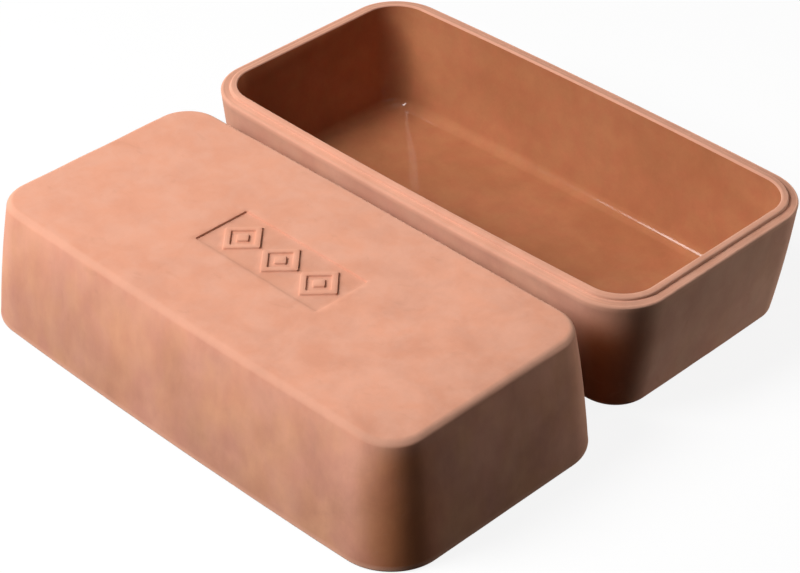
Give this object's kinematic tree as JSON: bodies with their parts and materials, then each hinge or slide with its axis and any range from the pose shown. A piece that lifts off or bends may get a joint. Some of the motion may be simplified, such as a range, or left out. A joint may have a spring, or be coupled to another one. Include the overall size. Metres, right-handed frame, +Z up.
{
  "type": "covered bread baker",
  "caption": "Covered stoneware bread baker: a deep rectangular loaf base with a stepped rim, glazed inside, and a matching deep lid that stands mouth down beside it.",
  "frame": {"origin": "centre of the flat underside of the base, on the surface that both pieces stand on", "axes": "+X along the length of the pieces, +Y from the lid towards the base, +Z up, the way the lid lifts"},
  "size_m": [0.33, 0.3385, 0.076],
  "materials": {
    "base_clay": "bare matt terracotta clay outside and on the rim, glossy orange-brown glaze inside",
    "lid_clay": "bare matt terracotta clay with soft cloudy stains outside and on the rim, glossy orange-brown glaze inside"
  },
  "bodies": {
    "base": {"base": "base_clay"},
    "lid": {"lid": "lid_clay"}
  },
  "joints": [
    {"name": "lid_lift", "type": "slide", "parent": "base", "child": "lid", "axis": [0, 0, 1], "range_m": [0, 0.12]}
  ]
}
